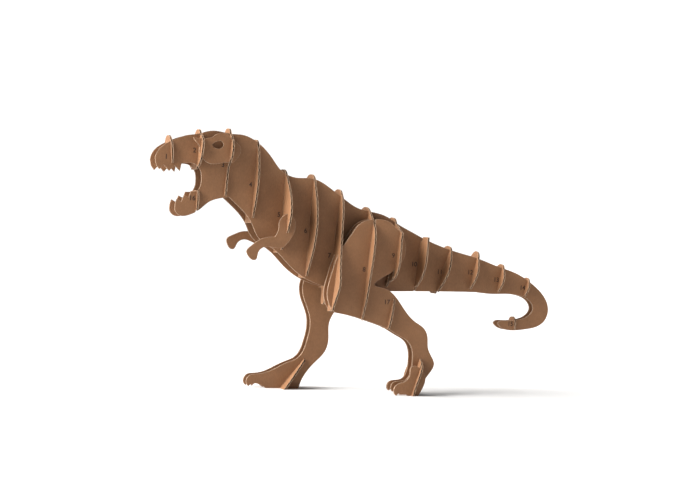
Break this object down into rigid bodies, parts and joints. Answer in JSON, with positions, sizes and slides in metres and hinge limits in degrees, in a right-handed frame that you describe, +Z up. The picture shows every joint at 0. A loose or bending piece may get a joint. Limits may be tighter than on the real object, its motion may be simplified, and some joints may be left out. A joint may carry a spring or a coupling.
{
  "type": "slot-together dinosaur model",
  "caption": "Standing two-legged dinosaur built from flat corrugated boards that cross in half-lap slots, with open jaws, small arms and a hooked tail.",
  "frame": {"origin": "on the ground, under the middle of the model's overall length and width", "axes": "+Z up, head towards -X, tail towards +X, the animal's left side towards -Y"},
  "size_m": [0.4272, 0.088, 0.2527],
  "materials": {
    "plates": "matte kraft liner",
    "ribs": "matte kraft liner, seen lighter where it faces the light"
  },
  "bodies": {
    "frame": {"body_plate_left": "plates", "body_plate_right": "plates", "rib_02_brow": "ribs", "rib_03_skull": "ribs", "rib_08_hip": "ribs", "leg_left_inner": "plates", "leg_left_outer": "plates", "leg_right_inner": "plates", "leg_right_outer": "plates", "knee_rib_left": "ribs", "knee_rib_right": "ribs", "foot_rib_left": "ribs", "foot_rib_right": "ribs"},
    "rib_01_snout": {"rib_01_snout": "ribs"},
    "rib_04_neck": {"rib_04_neck": "ribs"},
    "rib_05_shoulder": {"rib_05_shoulder": "ribs"},
    "rib_06_chest": {"rib_06_chest": "ribs"},
    "rib_07_front_hip": {"rib_07_front_hip": "ribs"},
    "rib_09_rump": {"rib_09_rump": "ribs"},
    "rib_11_tail": {"rib_11_tail": "ribs"},
    "rib_12_tail": {"rib_12_tail": "ribs"},
    "rib_13_tail": {"rib_13_tail": "ribs"},
    "rib_14_tail": {"rib_14_tail": "ribs"},
    "rib_15_tail_tip": {"rib_15_tail_tip": "ribs"},
    "toe_plate_left": {"toe_plate_left": "plates"},
    "toe_plate_right": {"toe_plate_right": "plates"},
    "eye_plate_left": {"eye_plate_left": "plates"},
    "eye_plate_right": {"eye_plate_right": "plates"},
    "rib_10_tail_root": {"rib_10_tail_root": "ribs"},
    "rib_16_lower_jaw": {"rib_16_lower_jaw": "ribs"},
    "arm_left": {"arm_left": "plates"},
    "arm_right": {"arm_right": "plates"}
  },
  "joints": [
    {"name": "rib_01_snout_slide", "type": "slide", "parent": "frame", "child": "rib_01_snout", "axis": [-0.0837, 0, 0.9965], "range_m": [0, 0.024]},
    {"name": "rib_04_neck_slide", "type": "slide", "parent": "frame", "child": "rib_04_neck", "axis": [0.0401, 0, 0.9992], "range_m": [0, 0.076]},
    {"name": "rib_05_shoulder_slide", "type": "slide", "parent": "frame", "child": "rib_05_shoulder", "axis": [0.0227, 0, 0.9997], "range_m": [0, 0.08]},
    {"name": "rib_06_chest_slide", "type": "slide", "parent": "frame", "child": "rib_06_chest", "axis": [0.0436, 0, 0.999], "range_m": [0, 0.1]},
    {"name": "rib_07_front_hip_slide", "type": "slide", "parent": "frame", "child": "rib_07_front_hip", "axis": [0.0941, 0, 0.9956], "range_m": [0, 0.12]},
    {"name": "rib_09_rump_slide", "type": "slide", "parent": "frame", "child": "rib_09_rump", "axis": [0.1184, 0, 0.993], "range_m": [0, 0.07]},
    {"name": "rib_11_tail_slide", "type": "slide", "parent": "frame", "child": "rib_11_tail", "axis": [0.294, 0, 0.9558], "range_m": [0, 0.05]},
    {"name": "rib_12_tail_slide", "type": "slide", "parent": "frame", "child": "rib_12_tail", "axis": [0.2436, 0, 0.9699], "range_m": [0, 0.036]},
    {"name": "rib_13_tail_slide", "type": "slide", "parent": "frame", "child": "rib_13_tail", "axis": [0.2181, 0, 0.9759], "range_m": [0, 0.029]},
    {"name": "rib_14_tail_slide", "type": "slide", "parent": "frame", "child": "rib_14_tail", "axis": [0.2706, 0, 0.9627], "range_m": [0, 0.02]},
    {"name": "rib_15_tail_tip_slide", "type": "slide", "parent": "frame", "child": "rib_15_tail_tip", "axis": [0, 0, 1], "range_m": [0, 0.012]},
    {"name": "toe_plate_left_slide", "type": "slide", "parent": "frame", "child": "toe_plate_left", "axis": [0.2974, 0, 0.9548], "range_m": [0, 0.024]},
    {"name": "toe_plate_right_slide", "type": "slide", "parent": "frame", "child": "toe_plate_right", "axis": [0.6252, 0, 0.7804], "range_m": [0, 0.024]},
    {"name": "eye_plate_left_slide", "type": "slide", "parent": "frame", "child": "eye_plate_left", "axis": [0.0576, 0, 0.9983], "range_m": [0, 0.026]},
    {"name": "eye_plate_right_slide", "type": "slide", "parent": "frame", "child": "eye_plate_right", "axis": [0.0576, 0, 0.9983], "range_m": [0, 0.026]},
    {"name": "rib_10_tail_root_slide", "type": "slide", "parent": "frame", "child": "rib_10_tail_root", "axis": [-0.1063, 0, -0.9943], "range_m": [0, 0.034]},
    {"name": "rib_16_lower_jaw_slide", "type": "slide", "parent": "frame", "child": "rib_16_lower_jaw", "axis": [0, 0, -1], "range_m": [0, 0.022]},
    {"name": "arm_left_slide", "type": "slide", "parent": "rib_05_shoulder", "child": "arm_left", "axis": [-0.0227, 0, -0.9997], "range_m": [0, 0.026]},
    {"name": "arm_right_slide", "type": "slide", "parent": "rib_05_shoulder", "child": "arm_right", "axis": [-0.0227, 0, -0.9997], "range_m": [0, 0.026]}
  ]
}
